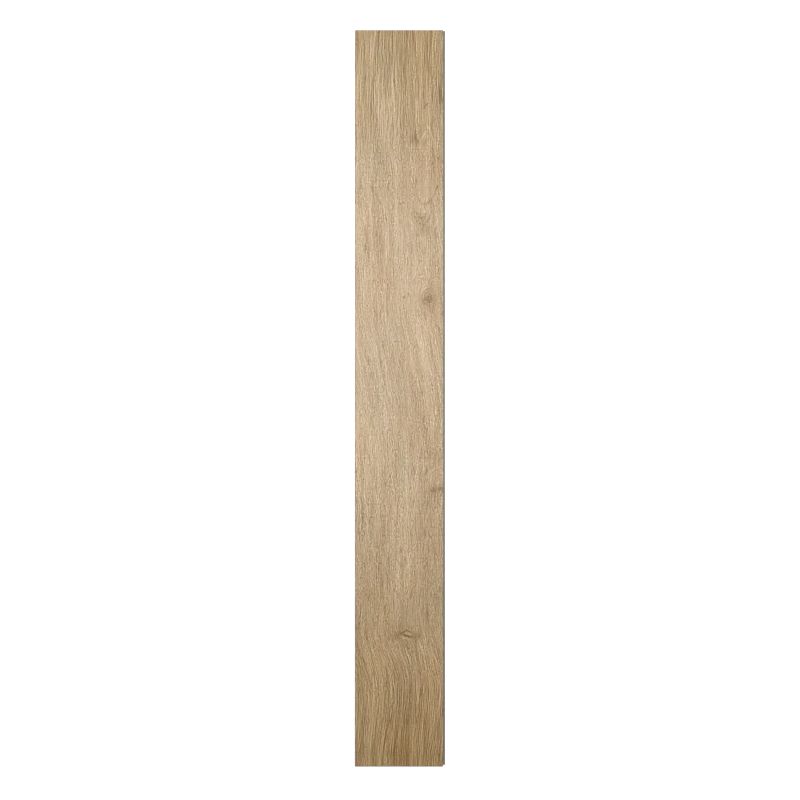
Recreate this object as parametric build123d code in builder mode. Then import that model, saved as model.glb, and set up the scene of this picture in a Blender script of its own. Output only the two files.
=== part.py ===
import os

from build123d import *

os.makedirs("parts", exist_ok=True)

# Printed face: the size the plank covers on a floor
face_length = 1524.0
face_width = 182.0
thickness = 5.0
face_bevel = 0.4

# Tongue on the left long side and on the near end, heights above the underside
tongue_reach = 1.0
tongue_top = 3.4
tongue_bottom = 2.1
tongue_round = 0.5

# Locking lip on the right long side
lip_reach = 4.1
lip_floor = 1.3
channel_start = 0.6
channel_width = 1.3
ridge_height = 0.9
ridge_lean = 0.25
ridge_flat = 1.0
ridge_round = 0.2
nose_drop = 0.6
foot_chamfer = 0.3

# How far the lip is trimmed back from the two ends of the face
lip_trim_far = 1.3
lip_trim_near = 2.4

# Clearance between a tongue or lip and the room cut for it in the next plank
fit_gap = 0.08

overall_width = tongue_reach + face_width + lip_reach
overall_length = tongue_reach + face_length
left_joint = tongue_reach - overall_width / 2
right_joint = left_joint + face_width
near_joint = tongue_reach - overall_length / 2
far_joint = near_joint + face_length

# Tongue outline, drawn outwards from a joint at zero
with BuildSketch() as tongue:
    with BuildLine():
        Polyline(
            (0, tongue_bottom),
            (-tongue_reach, tongue_bottom),
            (-tongue_reach, tongue_top),
            (0, tongue_top),
            close=True,
        )
    make_face()
    fillet(tongue.vertices().group_by(Axis.X)[0], tongue_round)

# Lip outline, drawn outwards from a joint at zero: slope, channel, ridge and nose
channel_end = channel_start + channel_width
ridge_top = lip_floor + ridge_height
ridge_start = channel_end + ridge_lean
with BuildSketch() as lip:
    with BuildLine():
        Polyline(
            (0, 0),
            (lip_reach, 0),
            (lip_reach, ridge_top - nose_drop),
            (ridge_start + ridge_flat, ridge_top),
            (ridge_start, ridge_top),
            (channel_end, lip_floor),
            (channel_start, lip_floor),
            (0, tongue_bottom - fit_gap),
            close=True,
        )
    make_face()
    fillet(lip.vertices().group_by(Axis.Y)[-1], ridge_round)

# Room for the next plank's tongue and lip
tongue_room = offset(tongue.sketch, amount=fit_gap, mode=Mode.PRIVATE)
lip_room = offset(lip.sketch, amount=fit_gap, mode=Mode.PRIVATE)

# Plank: pressed board, milled to a tongue and a lip on the long sides and a tongue and groove on the ends
with BuildPart() as plank:
    with BuildSketch(Plane.XZ) as section:
        with Locations(((left_joint + right_joint) / 2, thickness / 2)):
            Rectangle(face_width, thickness)
        with Locations((left_joint, 0)):
            add(tongue.sketch)
            add(lip_room, mode=Mode.SUBTRACT)
        with Locations((right_joint, 0)):
            add(lip.sketch)
            add(tongue_room, mode=Mode.SUBTRACT)
    extrude(amount=overall_length / 2, both=True)

    # Near end: all but the tongue is milled away beyond the joint
    with BuildSketch(Plane.YZ) as near_waste:
        with Locations((near_joint - tongue_reach / 2, thickness / 2)):
            Rectangle(tongue_reach, thickness)
        with Locations((near_joint, 0)):
            add(tongue.sketch, mode=Mode.SUBTRACT)
    extrude(amount=overall_width / 2, both=True, mode=Mode.SUBTRACT)

    # Far end: groove for the tongue of the plank that follows
    with BuildSketch(Plane.YZ) as far_groove:
        with Locations((far_joint, 0)):
            add(tongue_room)
    extrude(amount=overall_width / 2, both=True, mode=Mode.SUBTRACT)

    # Lip trimmed at its two ends
    with Locations((right_joint, far_joint, 0)):
        Box(
            lip_reach,
            lip_trim_far,
            thickness,
            align=(Align.MIN, Align.MAX, Align.MIN),
            mode=Mode.SUBTRACT,
        )
    with Locations((right_joint, near_joint - tongue_reach, 0)):
        Box(
            lip_reach,
            tongue_reach + lip_trim_near,
            thickness,
            align=(Align.MIN, Align.MIN, Align.MIN),
            mode=Mode.SUBTRACT,
        )

    # Foot edges of the lip and of the room for the next plank's lip
    underside_edges = plank.faces().sort_by(Axis.Z)[0].edges().filter_by(Axis.Y).sort_by(Axis.X)
    chamfer([underside_edges[0], underside_edges[-1]], foot_chamfer)

    # Bevel round the printed face
    chamfer(plank.faces().sort_by(Axis.Z)[-1].edges(), face_bevel)

plank.part.label = "plank"
export_step(plank.part, "parts/plank.step")
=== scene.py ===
import math

import bmesh
import bpy
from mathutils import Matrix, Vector


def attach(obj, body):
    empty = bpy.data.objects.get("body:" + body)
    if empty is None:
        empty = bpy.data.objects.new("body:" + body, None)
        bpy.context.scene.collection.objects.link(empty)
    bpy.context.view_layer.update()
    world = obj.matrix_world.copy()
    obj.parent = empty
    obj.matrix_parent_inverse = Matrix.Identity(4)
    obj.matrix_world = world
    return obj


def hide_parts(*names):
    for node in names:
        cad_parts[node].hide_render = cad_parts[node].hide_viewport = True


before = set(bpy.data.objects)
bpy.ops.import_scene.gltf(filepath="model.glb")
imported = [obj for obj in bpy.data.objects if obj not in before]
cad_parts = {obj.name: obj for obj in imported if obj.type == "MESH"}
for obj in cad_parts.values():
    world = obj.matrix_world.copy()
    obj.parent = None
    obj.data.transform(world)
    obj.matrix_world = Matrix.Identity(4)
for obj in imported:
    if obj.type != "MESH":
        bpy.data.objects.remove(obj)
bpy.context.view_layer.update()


def linear(level):  # one 0-255 screen level as scene light
    s = max(level, 0) / 255
    return s / 12.92 if s <= 0.04045 else ((s + 0.055) / 1.055) ** 2.4


def colour(r, g, b):
    return (linear(r), linear(g), linear(b), 1.0)


def plug(tree, value, slot):
    if isinstance(value, Term):
        tree.links.new(value.socket, slot)
    else:
        slot.default_value = value


class Term:  # a number inside a node tree, so that a pattern reads as a sum
    def __init__(self, tree, socket):
        self.tree = tree
        self.socket = socket

    def calc(self, kind, *others):
        node = self.tree.nodes.new("ShaderNodeMath")
        node.operation = kind
        for slot, value in zip(node.inputs, (self, *others)):
            plug(self.tree, value, slot)
        return Term(self.tree, node.outputs[0])

    def __add__(self, other):
        return self.calc("ADD", other)

    def __sub__(self, other):
        return self.calc("SUBTRACT", other)

    def __mul__(self, other):
        return self.calc("MULTIPLY", other)

    def bell(self):  # 1 where self is 0, soft to nothing at about 2
        return (self * self * -1.0).calc("EXPONENT")

    def ramp(self, low, high, start=0.0, end=1.0):
        node = self.tree.nodes.new("ShaderNodeMapRange")
        node.interpolation_type = "SMOOTHSTEP"
        for slot, value in zip(node.inputs, (self, low, high, start, end)):
            plug(self.tree, value, slot)
        return Term(self.tree, node.outputs[0])


def point(tree, x, y, z=0.0):
    node = tree.nodes.new("ShaderNodeCombineXYZ")
    for slot, value in zip(node.inputs, (x, y, z)):
        plug(tree, value, slot)
    return Term(tree, node.outputs[0])


def split(tree, vector):
    node = tree.nodes.new("ShaderNodeSeparateXYZ")
    plug(tree, vector, node.inputs[0])
    return [Term(tree, out) for out in node.outputs]


def along(tree, place, direction):  # distance along a direction
    node = tree.nodes.new("ShaderNodeVectorMath")
    node.operation = "DOT_PRODUCT"
    plug(tree, place, node.inputs[0])
    node.inputs[1].default_value = direction
    return Term(tree, node.outputs["Value"])


def speck(tree, x, y, wide, long, seed, detail=0.0):  # noise about 0, its cells wide by long mm
    where = point(tree, x * (1 / wide) + seed * 17.3, y * (1 / long) + seed * 9.1)
    node = tree.nodes.new("ShaderNodeTexNoise")
    node.noise_dimensions = "2D"
    node.inputs["Scale"].default_value = 1.0
    node.inputs["Detail"].default_value = detail
    plug(tree, where, node.inputs["Vector"])
    return Term(tree, node.outputs[0]) * 2.0 - 1.0


def turned(tree, place, spot):  # place seen from a spot, in units of the spot's half width and half length
    (x, y), (wide, long) = spot["at"], spot["size"]
    turn = math.radians(spot.get("turn", 0))
    c, s = math.cos(turn), math.sin(turn)
    u = along(tree, place, (c / wide, s / wide, 0)) - (x * c + y * s) / wide
    v = along(tree, place, (-s / long, c / long, 0)) - (y * c - x * s) / long
    return u, v


def spotOf(tree, place, spot):  # 1 in the middle of a spot, fading outwards
    local = tree.nodes.new("ShaderNodeMapping")
    local.vector_type = "TEXTURE"
    local.inputs["Location"].default_value = (*spot["at"], 0)
    local.inputs["Rotation"].default_value = (0, 0, math.radians(spot.get("turn", 0)))
    local.inputs["Scale"].default_value = (*spot["size"], 1e6)
    plug(tree, place, local.inputs["Vector"])
    square = tree.nodes.new("ShaderNodeVectorMath")
    square.operation = "DOT_PRODUCT"
    for slot in square.inputs[:2]:
        tree.links.new(local.outputs[0], slot)
    fade = tree.nodes.new("ShaderNodeMath")
    fade.operation = "POWER"
    fade.inputs[0].default_value = 1 / math.e
    tree.links.new(square.outputs["Value"], fade.inputs[1])
    return Term(tree, fade.outputs[0])


def stamp(tree, place, spot, share=None):  # adds a spot's tone to the tone that place carries as its z
    amount = spotOf(tree, place, spot)
    if share:
        amount = amount * share
    node = tree.nodes.new("ShaderNodeVectorMath")
    node.operation = "MULTIPLY_ADD"
    plug(tree, amount, node.inputs[0])
    node.inputs[1].default_value = (0, 0, spot["tone"])
    plug(tree, place, node.inputs[2])
    return Term(tree, node.outputs[0])


# The printed oak. Places and sizes are mm from the middle of the face, x towards the lip, y along the plank.
# Tones run from -span, the darkest colour, to span, the palest.
oakPrint = {
    "middle": (-1.55, 0.5),
    "colours": [  # darkest to palest
        (126, 100, 59), (160, 130, 90), (194, 168, 133), (225, 202, 171), (251, 231, 203),
    ],
    "span": 90,
    "rough": 0.44,
    "gloss": 0.3,
    "bump": 0.35,
    "bumpDepth": 0.0001,  # m
    "hueOutsideSheen": (0.779, 0.696, 0.493),  # hue of the print outside the painted sheen, kept at the ends; the first tint paints the lamp's sheen over the middle as a paler, cooler colour
    "hueNoise": [(0.0, 0.034), (0.035, 0.0), (0.038, -0.035)],  # small and wide changes of red, green and blue
    "drift": 6.0,
    "lean": [  # from y, to y, how far lines step aside
        (493, 308, 10), (204, -28, 32), (-463, -604, 27), (-637, -760, -8),
    ],
    "broad": [  # wide soft changes over the face
        {"at": (-75, 0), "size": (40, 900), "tone": 4},
        {"at": (75, 0), "size": (40, 900), "tone": -4},
        {"at": (70, 680), "size": (28, 70), "tone": -18},
        {"at": (0, 400), "size": (200, 120), "tone": 4},
        {"at": (0, -270), "size": (200, 110), "tone": 4},
        {"at": (0, -700), "size": (200, 60), "tone": 2},
        {"at": (0, -50), "size": (200, 65), "tone": 3},
        {"at": (28, -190), "size": (25, 35), "tone": 8},
        {"at": (10, 545), "size": (40, 40), "tone": -5},
        {"at": (75, -711), "size": (7, 14), "tone": 18},
        {"at": (-19, -738), "size": (7, 13), "tone": -14},
    ],
    "knots": [  # dark places, part is how far lines move aside
        {"at": (33, 537), "size": (10, 10), "tone": -32, "part": 3},
        {"at": (45, 374), "size": (11, 11), "tone": -27, "part": 4},
        {"at": (54, 349), "size": (10, 13), "tone": -40},
        {"at": (37, 342), "size": (6, 7), "tone": -12},
        {"at": (59, 204), "size": (10, 7), "tone": -34, "part": 6},
        {"at": (60, 205), "size": (18, 26), "tone": -38},
        {"at": (70, -190), "size": (14, 8.5), "tone": -28, "part": 2},
        {"at": (74, -207), "size": (12, 16), "tone": -12},
        {"at": (87, -188), "size": (6, 8), "tone": -22, "part": 5},
        {"at": (35, -493), "size": (10, 9), "tone": -32},
        {"at": (-5, -491), "size": (14, 9), "tone": -28},
        {"at": (15, -488), "size": (22, 15), "tone": -6, "part": 8},
    ],
    "rings": [
        {"at": (48, 398), "size": (20, 40), "half": -1, "pitch": 6.4, "tone": 16},
        {"at": (44.5, 234), "size": (17, 27), "half": 1, "pitch": 5.6, "tone": 34},
        {"at": (77, 231), "size": (13, 22), "half": 1, "pitch": 5.6, "tone": 31},
        {"at": (60, 206), "size": (19, 24), "half": 0, "pitch": 5.4, "tone": 22},
        {"at": (89, -183), "size": (32, 42), "half": 1, "pitch": 6.6, "tone": 19},
        {"at": (13, -489), "size": (30, 21), "half": -1, "pitch": 5.6, "tone": 19},
    ],
    "arcs": [
        {"at": (57, 444), "size": (21, 42), "turn": -9, "half": -1, "thick": 1.5, "tone": -54},
        {"at": (48, 398), "size": (19, 38), "half": -1, "thick": 1.5, "tone": -70},
        {"at": (46, 390), "size": (11, 19), "half": -1, "thick": 1.5, "tone": -72},
        {"at": (76, 282), "size": (7, 7), "half": -1, "thick": 1.4, "tone": -56},
    ],
    "marks": [  # single strokes
        {"at": (40, 540), "size": (1.4, 6), "turn": 14, "tone": 62},
        {"at": (49.5, 543), "size": (1.4, 8), "turn": -32, "tone": 72},
        {"at": (38, 533), "size": (1.7, 4.5), "turn": 30, "tone": -44},
        {"at": (33, 540), "size": (1.6, 4), "turn": -25, "tone": -44},
        {"at": (28, 532), "size": (1.5, 4), "turn": 20, "tone": -34},
        {"at": (36, 546), "size": (1.5, 3.5), "turn": 15, "tone": -36},
        {"at": (42, 540), "size": (1.4, 3.5), "turn": -20, "tone": -30},
        {"at": (25, 543), "size": (1.4, 4), "turn": 0, "tone": -26},
        {"at": (35.5, 541), "size": (1.3, 4), "turn": 25, "tone": 34},
        {"at": (30, 527), "size": (1.3, 3.5), "turn": -30, "tone": 28},
        {"at": (35, 527), "size": (2.8, 3), "turn": 0, "tone": -38},
        {"at": (60, 562), "size": (1.5, 5.5), "turn": 0, "tone": 53},
        {"at": (62, 559), "size": (1.4, 5), "turn": -45, "tone": 26},
        {"at": (69, 538), "size": (1.3, 19), "turn": 23, "tone": 31},
        {"at": (57, 608), "size": (1.9, 5), "turn": -42, "tone": -74},
        {"at": (53, 602), "size": (1.5, 4), "turn": -5, "tone": -48},
        {"at": (36.5, 603), "size": (1.4, 16), "turn": 0, "tone": 58},
        {"at": (85, 629), "size": (2.6, 16), "turn": 4, "tone": -66},
        {"at": (-72, 700), "size": (1.4, 60), "turn": 0, "tone": -41},
        {"at": (-63, 690), "size": (1.4, 70), "turn": 0, "tone": -38},
        {"at": (36, 446), "size": (1.7, 10), "turn": 0, "tone": -58},
        {"at": (79, 437), "size": (1.7, 5), "turn": -20, "tone": -58},
        {"at": (53, 386), "size": (3, 1.8), "turn": 0, "tone": 53},
        {"at": (29.5, 358), "size": (1.3, 20), "turn": 34, "tone": 31},
        {"at": (75, 359), "size": (1.4, 14), "turn": -19, "tone": 43},
        {"at": (54, 236), "size": (1.3, 9), "turn": -36, "tone": 38},
        {"at": (50, 224), "size": (1.3, 9), "turn": -40, "tone": 34},
        {"at": (9.5, 209), "size": (1.5, 3.6), "turn": -10, "tone": -105},
        {"at": (14.2, 210), "size": (1.3, 3), "turn": 0, "tone": -41},
        {"at": (20.3, 214), "size": (1.4, 3.2), "turn": 18, "tone": -82},
        {"at": (60, 203.5), "size": (8, 1.7), "turn": 0, "tone": -34},
        {"at": (52, 199), "size": (1.5, 4), "turn": 40, "tone": -28},
        {"at": (66, 210), "size": (1.5, 4), "turn": -30, "tone": -26},
        {"at": (57, 214), "size": (1.4, 5), "turn": -50, "tone": 28},
        {"at": (66, 196), "size": (4.5, 1.4), "turn": 20, "tone": 26},
        {"at": (53, 172), "size": (1.6, 7), "turn": 12, "tone": -48},
        {"at": (-25.5, 212), "size": (1.5, 46), "turn": 0, "tone": -46},
        {"at": (78.5, -175.5), "size": (3.2, 1.5), "turn": 35, "tone": 46},
        {"at": (84, -172.5), "size": (3.4, 1.4), "turn": 20, "tone": 42},
        {"at": (69, -150), "size": (1.4, 8), "turn": -42, "tone": 40},
        {"at": (81, -142), "size": (1.4, 7), "turn": -65, "tone": 36},
        {"at": (47, -136), "size": (1.4, 8), "turn": -32, "tone": 42},
        {"at": (60.6, -133.5), "size": (1.4, 7), "turn": -54, "tone": 36},
        {"at": (86, -188.5), "size": (4.5, 3.5), "turn": 0, "tone": -66},
        {"at": (69, -191), "size": (4, 3), "turn": -10, "tone": -34},
        {"at": (50.6, -146), "size": (1.5, 4.5), "turn": 0, "tone": 38},
        {"at": (60, -150), "size": (1.4, 12), "turn": -42, "tone": -31},
        {"at": (16.5, -488), "size": (11, 7.5), "turn": -8, "tone": 31},
        {"at": (16, -492), "size": (9, 1.7), "turn": -16, "tone": -150},
        {"at": (9.5, -484), "size": (6.8, 1.6), "turn": 29, "tone": -92},
        {"at": (21, -483), "size": (6.4, 1.6), "turn": -20, "tone": -84},
        {"at": (10.5, -496), "size": (5, 1.4), "turn": -5, "tone": 50},
        {"at": (18, -499), "size": (6, 1.4), "turn": -15, "tone": 48},
        {"at": (47, -519), "size": (1.3, 17), "turn": 20, "tone": 53},
        {"at": (54, -550), "size": (1.3, 22), "turn": 5, "tone": 55},
        {"at": (52, -507), "size": (1.3, 14), "turn": 7, "tone": 43},
        {"at": (67, -546), "size": (1.3, 24), "turn": 19, "tone": 55},
        {"at": (81, -583), "size": (1.3, 17), "turn": 23, "tone": 55},
        {"at": (74, -538), "size": (1.3, 20), "turn": 31, "tone": 53},
        {"at": (20, -536), "size": (1.3, 12), "turn": 20, "tone": 43},
        {"at": (0, -534), "size": (1.3, 15), "turn": 25, "tone": 55},
        {"at": (34, -540), "size": (1.3, 17), "turn": 18, "tone": 41},
        {"at": (-22, -530), "size": (1.3, 13), "turn": -8, "tone": 41},
        {"at": (-37, -381), "size": (1.3, 26), "turn": 0, "tone": -38},
        {"at": (58, -450), "size": (1.4, 13), "turn": 0, "tone": -50},
        {"at": (52, -674), "size": (3, 45), "turn": 2, "tone": -20},
    ],
    "calm": [  # places with little grain
        {"at": (63, 591), "size": (12, 13)},
        {"at": (56, 432), "size": (12, 23)},
        {"at": (55, 346), "size": (11, 14)},
        {"at": (12, -450), "size": (34, 26)},
        {"at": (15, -489), "size": (22, 13)},
        {"at": (74, -168), "size": (14, 14)},
    ],
    "tintsAndSheen": [  # changes of colour: a painted sheen of the lamp as the pale middle, then the two ends and small places
        # painted sheen: the lamp's reflection over the middle and far half, painted into the colour
        {"at": (0, 165), "size": (4000, 760), "hue": (0.221, 0.304, 0.507)},
        {"at": (0, 730), "size": (300, 230), "hue": (-0.024, -0.021, -0.066)},
        {"at": (0, -730), "size": (300, 200), "hue": (0.008, -0.014, -0.051)},
        {"at": (33, 538), "size": (14, 15), "hue": (-0.03, 0.0, -0.06)},
        {"at": (63, 591), "size": (12, 12), "hue": (0.0, -0.012, -0.05)},
        {"at": (11, -150), "size": (9, 48), "hue": (-0.05, -0.007, -0.015)},
        {"at": (-7, -128), "size": (6, 22), "hue": (0.028, -0.01, 0.005)},
        {"at": (74, -216), "size": (16, 26), "hue": (0.0, -0.018, 0.005)},
        {"at": (35, -744), "size": (12, 14), "hue": (0.0, -0.028, -0.015)},
    ],
}


def oakFields(tree, place):
    x, y, _ = split(tree, place)
    x = x * 1000.0 - oakPrint["middle"][0]
    y = y * 1000.0 - oakPrint["middle"][1]
    here = point(tree, x, y)
    grain = x + speck(tree, x, y, 95, 300, 1) * oakPrint["drift"]
    grain = grain + speck(tree, x, y, 30, 85, 2) * 2.2
    for start, end, step in oakPrint["lean"]:
        grain = grain - y.ramp(start, end, 0, step)
    for knot in oakPrint["knots"]:  # lines part round a knot
        if "part" in knot:
            wide, long = knot["size"]
            u, v = turned(tree, here, {"at": knot["at"], "size": (wide * 1.6, long * 2.2)})
            grain = grain - u * ((u * u + v * v) * -1.0).calc("EXPONENT") * knot["part"]
    ends = y.calc("ABSOLUTE").ramp(400, 700)
    grain = grain + speck(tree, x, y, 12, 17, 15) * ends.ramp(0, 1, 1.7, 0.5)
    longLines = strand(tree, grain, y, 1.8, 90, 3)
    midLines = strand(tree, grain, y, 1.8, 26, 4)
    dashes = strand(tree, grain, y, 1.7, 9, 5)
    stipple = speck(tree, grain, y, 1.4, 3.4, 10)
    veins = speck(tree, grain, y, 7.0, 120, 6)
    bands = speck(tree, grain, y, 19, 260, 7)
    cloud = speck(tree, x, y, 55, 330, 8)
    pores = speck(tree, grain, y, 0.6, 10, 9).ramp(0.28, 0.5)
    threads = thread(speck(tree, grain, y, 3.7, 75, 11), 0.16)
    threads = threads * speck(tree, grain, y, 6, 60, 12).ramp(-0.1, 0.3)
    furrows = thread(speck(tree, grain, y, 3.7, 65, 13), 0.16)
    furrows = furrows * speck(tree, grain, y, 6, 60, 14).ramp(-0.1, 0.3)
    curls = thread(speck(tree, grain, y, 3.1, 16, 16), 0.17)
    curls = curls - thread(speck(tree, grain, y, 3.1, 16, 17), 0.17) * 1.4
    patchy = speck(tree, grain, y, 11, 42, 18).ramp(-0.4, 0.4, 0.6, 1.35)
    gain = y.ramp(60, -220, 0.95, 1.27) * y.ramp(-480, -540, 1.0, 1.1)  # contrast along the plank
    gain = gain * y.ramp(-600, -700, 1.0, 0.83) * y.ramp(300, 520, 1.0, 1.2)
    slow = veins * 15.0 + bands * 12.0 + cloud * 9.5
    slow = slow * y.ramp(-550, -740, 1.0, 2.1) * y.ramp(520, 640, 1.0, 1.45)
    fine = gain * (
        longLines * ends.ramp(0, 1, 20, 57) + midLines * ends.ramp(0, 1, 35, 49)
        + (dashes * ends.ramp(0, 1, 30, 22) + stipple * ends.ramp(0, 1, 40, 30)) * patchy
        + threads * 13.0 - furrows * 33.0 + curls * ends.ramp(0, 1, 15, 7) * patchy
    )
    press = (midLines * 0.6 + longLines * 0.6 + dashes * 0.3 - furrows * 0.4 - 0.1).ramp(-0.45, 0.25)
    return {
        "x": x, "y": y, "here": here, "fine": fine, "slow": slow, "press": press, "pores": pores,
    }


def strand(tree, grain, y, wide, long, seed):  # light and dark lines side by side
    return speck(tree, grain, y, wide, long, seed, 1.0) - speck(tree, grain - 1.8, y, wide, long, seed, 1.0)


def thread(noise, wide):  # thin lines where noise crosses 0
    return noise.calc("ABSOLUTE").ramp(wide, 0.0)


def oakKnots(tree, fields):  # tone of the grain with its knots, rings, strokes and calm patches
    here = fields["here"]
    calm = None
    for patch in oakPrint["calm"]:
        spot = spotOf(tree, here, patch)
        calm = spot if calm is None else calm.calc("MAXIMUM", spot)
    tone = fields["fine"] * (calm * -0.55 + 1.0) + fields["slow"]
    broken = speck(tree, fields["x"], fields["y"], 1.9, 2.4, 19).ramp(-0.3, 0.2)
    for n, ring in enumerate(oakPrint["rings"]):
        u, v = turned(tree, here, ring)
        reach = (u * u + v * v).calc("SQRT")
        long, pitch = ring["size"][1], ring["pitch"]
        waver = speck(tree, reach * long, v.calc("ARCTAN2", u), pitch * 2, 0.8, 20 + n) * 5.0
        lines = (reach * (long * 2 * math.pi / pitch) + waver).calc("SINE")
        hold = reach.ramp(1.35, 0.8)
        if ring["half"]:
            hold = hold * (v * ring["half"]).ramp(-0.25, 0.3)
        tone = tone * (hold * -0.4 + 1.0) + lines * hold * (broken * 0.7 + 0.4) * ring["tone"]
    dots = broken.ramp(0.45, 1.0)
    for arc in oakPrint["arcs"]:
        u, v = turned(tree, here, arc)
        radius = sum(arc["size"]) / 2
        line = (((u * u + v * v).calc("SQRT") - 1.0) * (radius / arc["thick"])).bell() * dots
        if arc["half"]:
            line = line * (v * arc["half"]).ramp(-0.1, 0.3)
        tone = tone + line * arc["tone"]
    carry = point(tree, fields["x"], fields["y"], tone - fields["pores"] * 6.0)
    for spot in oakPrint["broad"]:
        carry = stamp(tree, carry, spot)
    rough = broken * 0.5 + 0.6
    for knot in oakPrint["knots"]:
        carry = stamp(tree, carry, knot, broken * 0.7 + 0.5)
    for mark in oakPrint["marks"]:
        carry = stamp(tree, carry, mark, rough)
    return split(tree, carry)[2]


def oakFinish():
    mat = bpy.data.materials.new("oakPrint")
    mat.use_nodes = True
    tree = mat.node_tree
    shader = tree.nodes["Principled BSDF"]
    coords = tree.nodes.new("ShaderNodeTexCoord")
    fields = oakFields(tree, Term(tree, coords.outputs["Object"]))
    span = oakPrint["span"]
    tone = oakKnots(tree, fields) * (0.5 / span) + 0.5
    ramp = tree.nodes.new("ShaderNodeValToRGB")
    stops = ramp.color_ramp.elements
    while len(stops) < 5:
        stops.new(0.5)
    for i, stop in enumerate(stops):
        stop.position = i / 4
        stop.color = colour(*oakPrint["colours"][i])
    plug(tree, tone, ramp.inputs["Fac"])
    warm = speck(tree, fields["x"], fields["y"], 80, 150, 43)
    hue = [
        speck(tree, fields["x"], fields["y"], 22, 30, 40 + n) * share + warm * wide + oakPrint["hueOutsideSheen"][n]
        for n, (share, wide) in enumerate(oakPrint["hueNoise"])
    ]
    # the first tint is the painted sheen over the middle; the others are changes of colour in the print
    for tint in oakPrint["tintsAndSheen"]:
        spot = spotOf(tree, fields["here"], tint)
        hue = [h + spot * share for h, share in zip(hue, tint["hue"])]
    tinted = tree.nodes.new("ShaderNodeVectorMath")
    tinted.operation = "MULTIPLY"
    tree.links.new(ramp.outputs["Color"], tinted.inputs[0])
    plug(tree, point(tree, *hue), tinted.inputs[1])
    tree.links.new(tinted.outputs[0], shader.inputs["Base Color"])
    plug(tree, fields["press"] * -0.05 + oakPrint["rough"], shader.inputs["Roughness"])
    # gloss kept low, because the sheen over the middle is painted into the colour
    shader.inputs["Specular IOR Level"].default_value = oakPrint["gloss"]
    bump = tree.nodes.new("ShaderNodeBump")
    bump.inputs["Strength"].default_value = oakPrint["bump"]
    bump.inputs["Distance"].default_value = oakPrint["bumpDepth"]
    plug(tree, fields["press"] - fields["pores"] * 0.6, bump.inputs["Height"])
    tree.links.new(bump.outputs["Normal"], shader.inputs["Normal"])
    return mat


# The grey core that shows at the milled sides
coreFinish = {"ground": (141, 136, 130), "speckle": 9, "speckleScale": 900, "rough": 0.55}


def greyCore():
    mat = bpy.data.materials.new("greyCore")
    mat.use_nodes = True
    tree = mat.node_tree
    shader = tree.nodes["Principled BSDF"]
    coords = tree.nodes.new("ShaderNodeTexCoord")
    noise = tree.nodes.new("ShaderNodeTexNoise")
    noise.inputs["Scale"].default_value = coreFinish["speckleScale"]
    noise.inputs["Detail"].default_value = 3
    tree.links.new(coords.outputs["Object"], noise.inputs["Vector"])
    ramp = tree.nodes.new("ShaderNodeValToRGB")
    low, high = ramp.color_ramp.elements
    low.position, high.position = 0.3, 0.7
    low.color = colour(*[c - coreFinish["speckle"] for c in coreFinish["ground"]])
    high.color = colour(*[c + coreFinish["speckle"] for c in coreFinish["ground"]])
    tree.links.new(noise.outputs[0], ramp.inputs["Fac"])
    tree.links.new(ramp.outputs["Color"], shader.inputs["Base Color"])
    shader.inputs["Roughness"].default_value = coreFinish["rough"]
    return mat


# The board: its milled profile comes from the CAD node, and its face gets a fine net for the pressed grain
board = {
    "across": 240,  # cells of the net over the width
    "along": 240,  # cells over the length, in three equal strips
    "press": 0.0001,  # depth of the pressed grain, m
    "rim": 0.003,  # flat margin at the edges of the face, m
    "sharp": 25,  # degrees, from which an edge stays crisp
    "faceSize": (181.2, 1523.2),  # flat part of the face, mm
    "halfSize": (0.0936, 0.7625),  # half of the whole board, m
    "strip": 0.318,  # width of a strip in the flat layout
    "stripGap": 0.0115,
    "margin": 0.004,
    "layoutTop": 0.997,  # where the last milled side ends
}


def splitEvenly(edge, axis, count):  # points from the low end of an edge to its high end
    start, end = sorted(edge.verts, key=lambda v: v.co[axis])
    points = [start]
    for left in range(count, 1, -1):
        _, middle = bmesh.utils.edge_split(edge, points[-1], 1 / left)
        edge = next(e for e in middle.link_edges if end in e.verts)
        points.append(middle)
    return points + [end]


def netOverFace(bm, face):
    across, lengthwise = board["across"], board["along"]
    low = [min(v.co[k] for v in face.verts) for k in (0, 1)]
    high = [max(v.co[k] for v in face.verts) for k in (0, 1)]
    top = face.verts[0].co.z
    sides = {}
    for edge in list(face.edges):
        a, b = (v.co for v in edge.verts)
        if abs(a.x - b.x) > abs(a.y - b.y):
            sides["near" if a.y < 0 else "far"] = splitEvenly(edge, 0, across)
        else:
            sides["left" if a.x < 0 else "right"] = splitEvenly(edge, 1, lengthwise)
    bmesh.ops.delete(bm, geom=[face], context="FACES_ONLY")
    rows = [sides["near"]]
    for j in range(1, lengthwise):
        y = low[1] + (high[1] - low[1]) * j / lengthwise
        stations = [low[0] + (high[0] - low[0]) * i / across for i in range(1, across)]
        inner = [bm.verts.new((x, y, top)) for x in stations]
        rows.append([sides["left"][j], *inner, sides["right"][j]])
    rows.append(sides["far"])
    net = []
    for j in range(lengthwise):
        for i in range(across):
            net.append(bm.faces.new((rows[j][i], rows[j][i + 1], rows[j + 1][i + 1], rows[j + 1][i])))
    print("face net", len(net), "cells")
    return net


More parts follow.
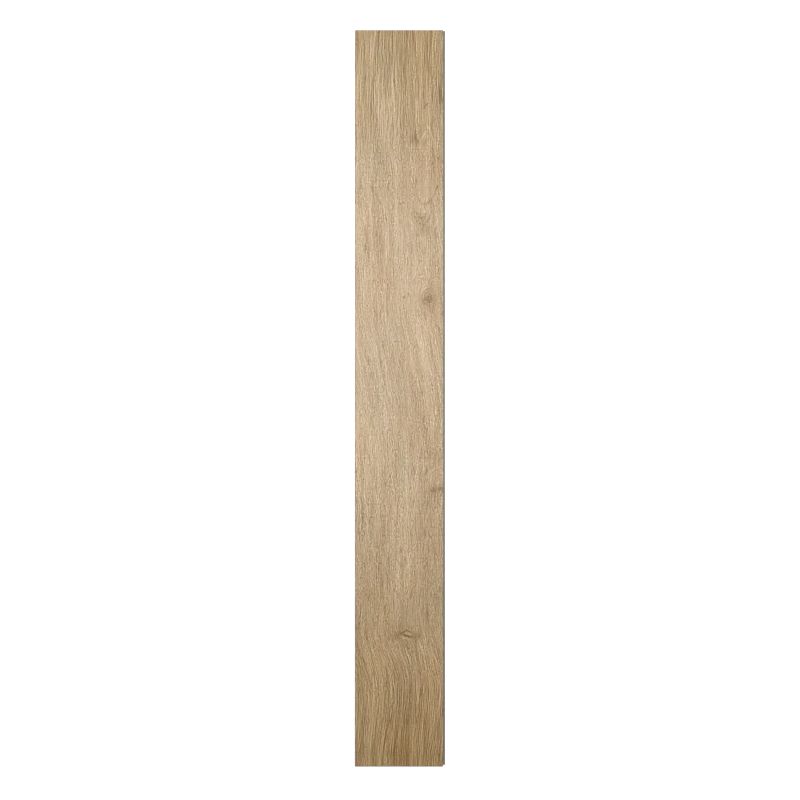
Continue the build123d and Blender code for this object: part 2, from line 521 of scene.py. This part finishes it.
def layOut(bm, net):  # flat places for every face, so a baked print keeps its detail
    places = bm.loops.layers.uv.new("OFBake")
    across, third = board["across"], board["along"] // 3
    wide, gap, margin = board["strip"], board["stripGap"], board["margin"]
    tall = wide * (board["faceSize"][1] / 3) / board["faceSize"][0]
    for n, face in enumerate(net):
        strip, j = divmod(n // across, third)
        i = n % across
        for loop, (di, dj) in zip(face.loops, ((0, 0), (1, 0), (1, 1), (0, 1))):
            u = gap + strip * (wide + gap) + wide * (i + di) / across
            loop[places].uv = (u, margin + tall * (j + dj) / third)
    netSet = set(net)
    rest = sorted((f for f in bm.faces if f not in netSet), key=lambda f: -f.calc_area())
    base = margin + tall + 2 * margin
    step = (board["layoutTop"] - base) / len(rest)
    for n, face in enumerate(rest):
        spans = [[v.co[k] for v in face.verts] for k in (0, 1)]
        spread = [max(span) - min(span) for span in spans]
        axis = 1 if spread[1] > spread[0] else 0
        side = face.normal.cross(Vector((0, 1, 0) if axis else (1, 0, 0))).normalized()
        levels = [v.co.dot(side) for v in face.verts]
        half = board["halfSize"][axis]
        for loop in face.loops:
            u = (loop.vert.co[axis] + half) / (2 * half)
            v = (loop.vert.co.dot(side) - min(levels)) / max(max(levels) - min(levels), 1e-9)
            loop[places].uv = (margin + (1 - 2 * margin) * u, base + step * (n + 0.1 + 0.8 * v))


def pressGrain(piece):  # sinks the net along the printed lines
    tree = bpy.data.node_groups.new("pressedGrain", "GeometryNodeTree")
    tree.interface.new_socket("Geometry", in_out="INPUT", socket_type="NodeSocketGeometry")
    tree.interface.new_socket("Geometry", in_out="OUTPUT", socket_type="NodeSocketGeometry")
    start = tree.nodes.new("NodeGroupInput")
    end = tree.nodes.new("NodeGroupOutput")
    move = tree.nodes.new("GeometryNodeSetPosition")
    place = tree.nodes.new("GeometryNodeInputPosition")
    weight = tree.nodes.new("GeometryNodeInputNamedAttribute")
    weight.inputs["Name"].default_value = "pressed"
    fields = oakFields(tree, Term(tree, place.outputs[0]))
    depth = (fields["press"] - 1.0) * Term(tree, weight.outputs[0]) * board["press"]
    plug(tree, point(tree, 0.0, 0.0, depth), move.inputs["Offset"])
    tree.links.new(start.outputs[0], move.inputs["Geometry"])
    tree.links.new(move.outputs[0], end.inputs[0])
    piece.modifiers.new("pressedGrain", "NODES").node_group = tree
    state = bpy.context.evaluated_depsgraph_get()
    shaped = piece.evaluated_get(state)
    pressed = bpy.data.meshes.new_from_object(shaped, preserve_all_data_layers=True, depsgraph=state)
    piece.modifiers.clear()
    piece.data = pressed
    top = max(v.co.z for v in pressed.vertices)
    deep = min(v.co.z for v in pressed.vertices if v.co.z > top - 2 * board["press"])
    print("grain pressed, lowest point", round(deep * 1000, 3), "mm")


def buildBoard(node):
    bm = bmesh.new()
    bm.from_mesh(node.data)
    bmesh.ops.remove_doubles(bm, verts=bm.verts, dist=2e-6)
    top = max(v.co.z for v in bm.verts)
    flat = [f for f in bm.faces if all(v.co.z > top - 1e-6 for v in f.verts)]
    face = bmesh.ops.dissolve_faces(bm, faces=flat)["region"][0]
    around = set(face.edges)
    inner = [e for e in bm.edges if e not in around]
    bmesh.ops.dissolve_limit(bm, angle_limit=0.001, verts=bm.verts, edges=inner)
    low = Vector(min(v.co[k] for v in face.verts) for k in range(3))
    high = Vector(max(v.co[k] for v in face.verts) for k in range(3))
    for edge in bm.edges:
        edge.smooth = edge.calc_face_angle(math.pi) < math.radians(board["sharp"])
    net = netOverFace(bm, face)
    bm.normal_update()
    weight = bm.verts.layers.float.new("pressed")
    for cell in net:
        for v in cell.verts:
            inset = min(v.co.x - low.x, high.x - v.co.x, v.co.y - low.y, high.y - v.co.y)
            rim = max(0.0, min(1.0, inset / board["rim"]))
            v[weight] = rim * rim * (3 - 2 * rim)
    netSet = set(net)
    for f in bm.faces:
        f.smooth = True
        bevel = 0.3 < f.normal.z < 0.95 and all(v.co.z > top - 0.0005 for v in f.verts)
        f.material_index = 0 if f in netSet or bevel else 1
    layOut(bm, net)
    mesh = bpy.data.meshes.new("plankBoard")
    bm.to_mesh(mesh)
    bm.free()
    piece = bpy.data.objects.new("plankBoard", mesh)
    bpy.context.scene.collection.objects.link(piece)
    piece.data.materials.append(oakFinish())
    piece.data.materials.append(greyCore())
    pressGrain(piece)
    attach(piece, "root")
    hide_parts("plank")
    return piece


plankBoard = buildBoard(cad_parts["plank"])
print("board built,", sum(len(p.vertices) - 2 for p in plankBoard.data.polygons), "triangles")

# Studio: one soft lamp over the far half of the plank, a little light from all round, a white floor
studio = {
    "lampAt": (-0.02, 0.25, 1.7),
    "lampSize": 1.6,
    "lampPower": 29.7,
    "fill": 0.14,
    "floorSize": 40.0,
    "floorDrop": 0.0004,  # keeps the floor just under the board
    "floorGlow": 0.88,  # light that the floor shows of its own, far from the lamp
    "lampShare": 0.38,  # how much less of it right under the lamp
    "cameraAt": (0.0001, -0.0033, 3.9155),
    "lens": 85.0,
}


def hangLamp():
    lamp = bpy.data.lights.new("softbox", "AREA")
    lamp.shape = "DISK"
    lamp.size = studio["lampSize"]
    lamp.energy = studio["lampPower"]
    softbox = bpy.data.objects.new("softbox", lamp)
    softbox.location = studio["lampAt"]
    bpy.context.scene.collection.objects.link(softbox)


def paintRoom():
    world = bpy.data.worlds.new("studioRoom")
    world.use_nodes = True
    tree = world.node_tree
    back = tree.nodes["Background"]
    back.inputs["Color"].default_value = (1, 1, 1, 1)
    path = tree.nodes.new("ShaderNodeLightPath")
    seen = Term(tree, path.outputs["Is Camera Ray"])
    plug(tree, seen * (1 - studio["fill"]) + studio["fill"], back.inputs["Strength"])
    bpy.context.scene.world = world


def layFloor():
    half = studio["floorSize"] / 2
    mesh = bpy.data.meshes.new("floor")
    corners = [(-half, -half, 0), (half, -half, 0), (half, half, 0), (-half, half, 0)]
    mesh.from_pydata(corners, [], [(0, 1, 2, 3)])
    floor = bpy.data.objects.new("floor", mesh)
    floor.location.z = -studio["floorDrop"]
    bpy.context.scene.collection.objects.link(floor)
    mat = bpy.data.materials.new("whiteFloor")
    mat.use_nodes = True
    tree = mat.node_tree
    shader = tree.nodes["Principled BSDF"]
    shader.inputs["Base Color"].default_value = (0.9, 0.9, 0.9, 1)
    shader.inputs["Roughness"].default_value = 0.9
    shader.inputs["Specular IOR Level"].default_value = 0.0
    shader.inputs["Emission Color"].default_value = (1, 1, 1, 1)
    path = tree.nodes.new("ShaderNodeLightPath")
    seen = Term(tree, path.outputs["Is Camera Ray"])
    seen = seen.calc("MAXIMUM", Term(tree, path.outputs["Is Glossy Ray"]))
    seen = seen.calc("MAXIMUM", Term(tree, path.outputs["Is Transmission Ray"]))
    place = tree.nodes.new("ShaderNodeTexCoord")
    x, y, _ = split(tree, Term(tree, place.outputs["Object"]))
    away = (x * x + y * y) * (1 / studio["lampAt"][2] ** 2)
    lit = (away + 1.0).calc("POWER", -2.0)  # how the lamp's light falls off over the floor
    glow = lit * -studio["lampShare"] + studio["floorGlow"]
    plug(tree, seen * glow, shader.inputs["Emission Strength"])
    mesh.materials.append(mat)


def setCamera():
    eye = bpy.data.cameras.new("camera")
    eye.lens = studio["lens"]
    eye.sensor_width = 36.0
    camera = bpy.data.objects.new("camera", eye)
    camera.location = studio["cameraAt"]
    bpy.context.scene.collection.objects.link(camera)
    bpy.context.scene.camera = camera
    bpy.context.scene.view_settings.view_transform = "Standard"


hangLamp()
paintRoom()
layFloor()
setCamera()
print("studio set")
